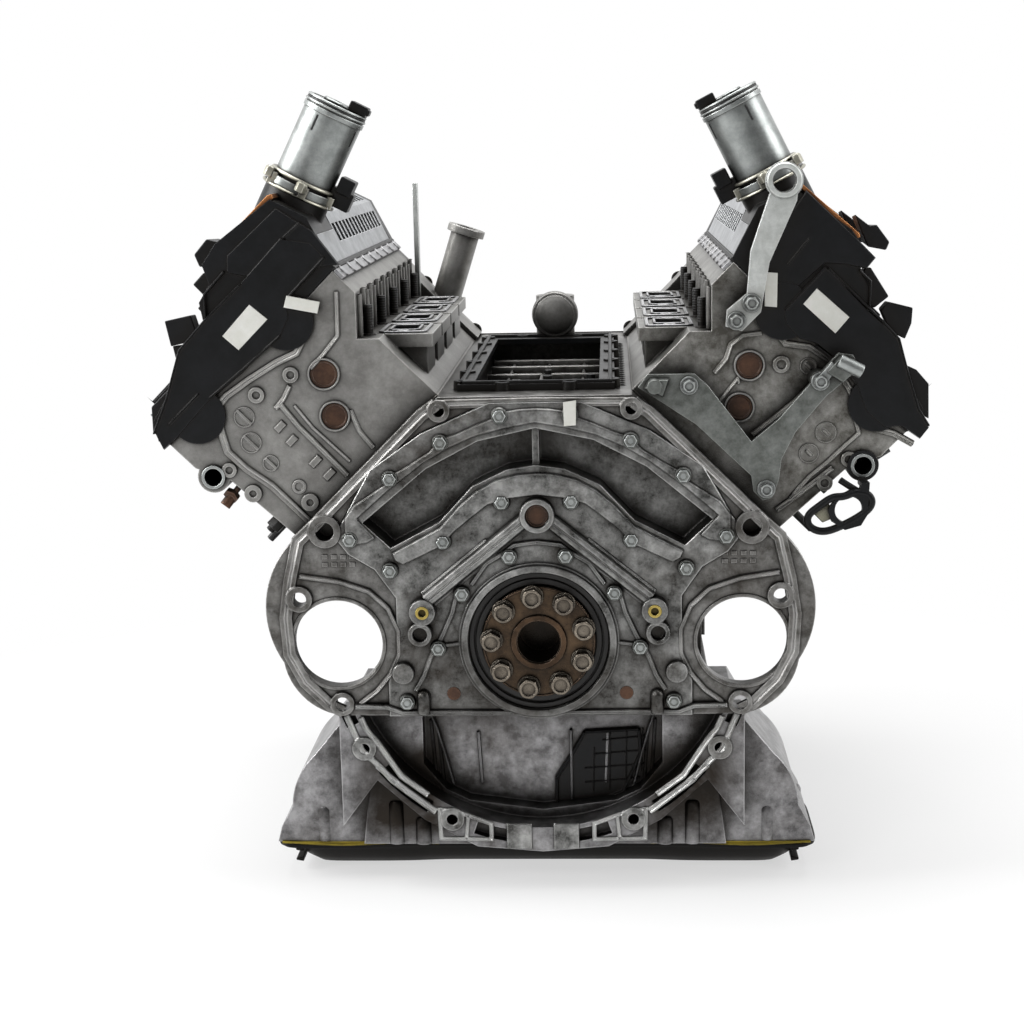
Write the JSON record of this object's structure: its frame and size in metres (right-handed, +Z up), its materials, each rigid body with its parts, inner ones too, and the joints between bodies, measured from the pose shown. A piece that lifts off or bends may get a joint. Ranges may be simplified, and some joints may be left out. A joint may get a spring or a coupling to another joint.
{
  "type": "v8 engine",
  "caption": "Complete V8 petrol engine without manifolds or flywheel, standing on its oil pan, with turning crank and camshafts and sliding pistons.",
  "frame": {"origin": "crank axis in the plane of the block's rear face, where the gearbox bolts on", "axes": "+X across the engine, +Y along the crank towards the belt end, +Z up"},
  "size_m": [0.704, 0.629, 0.7215],
  "materials": {
    "cast_aluminium": "as cast, oil stained",
    "forged_steel": "ground and oiled",
    "piston_alloy": "machined",
    "zinc_steel": "zinc plated",
    "oiled_steel": "brown and oily",
    "bearing_metal": "lined steel",
    "black_plastic": "moulded",
    "black_paint": "satin black",
    "seal_rubber": "matt",
    "yellow_gasket": "moulded",
    "gasket_steel": "coated"
  },
  "bodies": {
    "root": {"air_rails": "zinc_steel", "case_screws": "zinc_steel", "chain_guides": "black_plastic", "coolant_neck": "cast_aluminium", "engine_block": "cast_aluminium", "front_seal": "seal_rubber", "head_gaskets": "gasket_steel", "hose_holder": "black_plastic", "inner_cover_panels": "cast_aluminium", "left_cylinder_head": "cast_aluminium", "left_head_cover": "black_plastic", "lift_motors": "zinc_steel", "lifting_eyes": "cast_aluminium", "main_bearing_caps": "cast_aluminium", "main_bearing_shells": "bearing_metal", "manifold_studs": "zinc_steel", "oil_pan": "black_paint", "oil_pump": "cast_aluminium", "rear_bracket": "zinc_steel", "rear_end_cover": "cast_aluminium", "rear_main_seal": "seal_rubber", "right_cylinder_head": "cast_aluminium", "right_head_cover": "black_plastic", "rocker_arms": "forged_steel", "shaft_brackets": "cast_aluminium", "sump_gasket": "yellow_gasket", "sump_grille": "black_plastic", "timing_chains": "forged_steel", "timing_cover": "cast_aluminium", "upper_sump": "cast_aluminium", "upper_timing_covers": "cast_aluminium", "valley_frame": "black_plastic", "valve_springs": "forged_steel", "valves": "forged_steel", "water_pump": "cast_aluminium"},
    "crank": {"crankshaft": "forged_steel", "crank_flange_bolts": "oiled_steel", "crank_sprockets": "forged_steel", "vibration_damper": "black_paint", "connecting_rods": "forged_steel"},
    "right_inlet_cam": {"right_inlet_camshaft": "forged_steel", "right_inlet_phaser": "forged_steel"},
    "right_exhaust_cam": {"right_exhaust_camshaft": "forged_steel", "right_exhaust_phaser": "forged_steel"},
    "right_eccentric": {"right_eccentric_shaft": "forged_steel"},
    "left_inlet_cam": {"left_inlet_camshaft": "forged_steel", "left_inlet_phaser": "forged_steel"},
    "left_exhaust_cam": {"left_exhaust_camshaft": "forged_steel", "left_exhaust_phaser": "forged_steel"},
    "left_eccentric": {"left_eccentric_shaft": "forged_steel"},
    "piston_1": {"piston_1": "piston_alloy"},
    "piston_2": {"piston_2": "piston_alloy"},
    "piston_3": {"piston_3": "piston_alloy"},
    "piston_4": {"piston_4": "piston_alloy"},
    "piston_5": {"piston_5": "piston_alloy"},
    "piston_6": {"piston_6": "piston_alloy"},
    "piston_7": {"piston_7": "piston_alloy"},
    "piston_8": {"piston_8": "piston_alloy"},
    "oil_pump_rotor": {"oil_pump_shaft": "forged_steel"},
    "water_pump_rotor": {"water_pump_pulley": "black_paint"}
  },
  "joints": [
    {"name": "crank_spin", "type": "hinge", "parent": "root", "child": "crank", "pos_m": [0, 0, 0], "axis": [0, 1, 0], "continuous": true, "deforming": ["connecting_rods"]},
    {"name": "right_inlet_cam_spin", "type": "hinge", "parent": "root", "child": "right_inlet_cam", "pos_m": [0.21708, 0.2, 0.28638], "axis": [0, 1, 0], "continuous": true},
    {"name": "right_exhaust_cam_spin", "type": "hinge", "parent": "root", "child": "right_exhaust_cam", "pos_m": [0.29911, 0.2, 0.20435], "axis": [0, 1, 0], "continuous": true},
    {"name": "right_eccentric_turn", "type": "hinge", "parent": "root", "child": "right_eccentric", "pos_m": [0.23052, 0.2, 0.34082], "axis": [0, 1, 0], "range_deg": [0, 170]},
    {"name": "left_inlet_cam_spin", "type": "hinge", "parent": "root", "child": "left_inlet_cam", "pos_m": [-0.21708, 0.2, 0.28638], "axis": [0, 1, 0], "continuous": true},
    {"name": "left_exhaust_cam_spin", "type": "hinge", "parent": "root", "child": "left_exhaust_cam", "pos_m": [-0.29911, 0.2, 0.20435], "axis": [0, 1, 0], "continuous": true},
    {"name": "left_eccentric_turn", "type": "hinge", "parent": "root", "child": "left_eccentric", "pos_m": [-0.23052, 0.2, 0.34082], "axis": [0, 1, 0], "range_deg": [0, 170]},
    {"name": "piston_1_slide", "type": "slide", "parent": "root", "child": "piston_1", "axis": [0.7071, 0, 0.7071], "range_m": [-0.0827, 0]},
    {"name": "piston_2_slide", "type": "slide", "parent": "root", "child": "piston_2", "axis": [0.7071, 0, 0.7071], "range_m": [-0.03513, 0.04757]},
    {"name": "piston_3_slide", "type": "slide", "parent": "root", "child": "piston_3", "axis": [0.7071, 0, 0.7071], "range_m": [-0.03513, 0.04757]},
    {"name": "piston_4_slide", "type": "slide", "parent": "root", "child": "piston_4", "axis": [0.7071, 0, 0.7071], "range_m": [0, 0.0827]},
    {"name": "piston_5_slide", "type": "slide", "parent": "root", "child": "piston_5", "axis": [-0.7071, 0, 0.7071], "range_m": [-0.03513, 0.04757]},
    {"name": "piston_6_slide", "type": "slide", "parent": "root", "child": "piston_6", "axis": [-0.7071, 0, 0.7071], "range_m": [0, 0.0827]},
    {"name": "piston_7_slide", "type": "slide", "parent": "root", "child": "piston_7", "axis": [-0.7071, 0, 0.7071], "range_m": [-0.0827, 0]},
    {"name": "piston_8_slide", "type": "slide", "parent": "root", "child": "piston_8", "axis": [-0.7071, 0, 0.7071], "range_m": [-0.03513, 0.04757]},
    {"name": "oil_pump_spin", "type": "hinge", "parent": "root", "child": "oil_pump_rotor", "pos_m": [0, 0.45, -0.122], "axis": [0, 1, 0], "continuous": true},
    {"name": "water_pump_spin", "type": "hinge", "parent": "root", "child": "water_pump_rotor", "pos_m": [0, 0.59, 0.128], "axis": [0, 1, 0], "continuous": true}
  ],
  "couplings": [
    {"joint": "right_inlet_cam_spin", "follows": "crank_spin", "ratio": 0.5},
    {"joint": "right_exhaust_cam_spin", "follows": "crank_spin", "ratio": 0.5},
    {"joint": "left_inlet_cam_spin", "follows": "crank_spin", "ratio": 0.5},
    {"joint": "left_exhaust_cam_spin", "follows": "crank_spin", "ratio": 0.5},
    {"joint": "oil_pump_spin", "follows": "crank_spin", "ratio": 1}
  ]
}
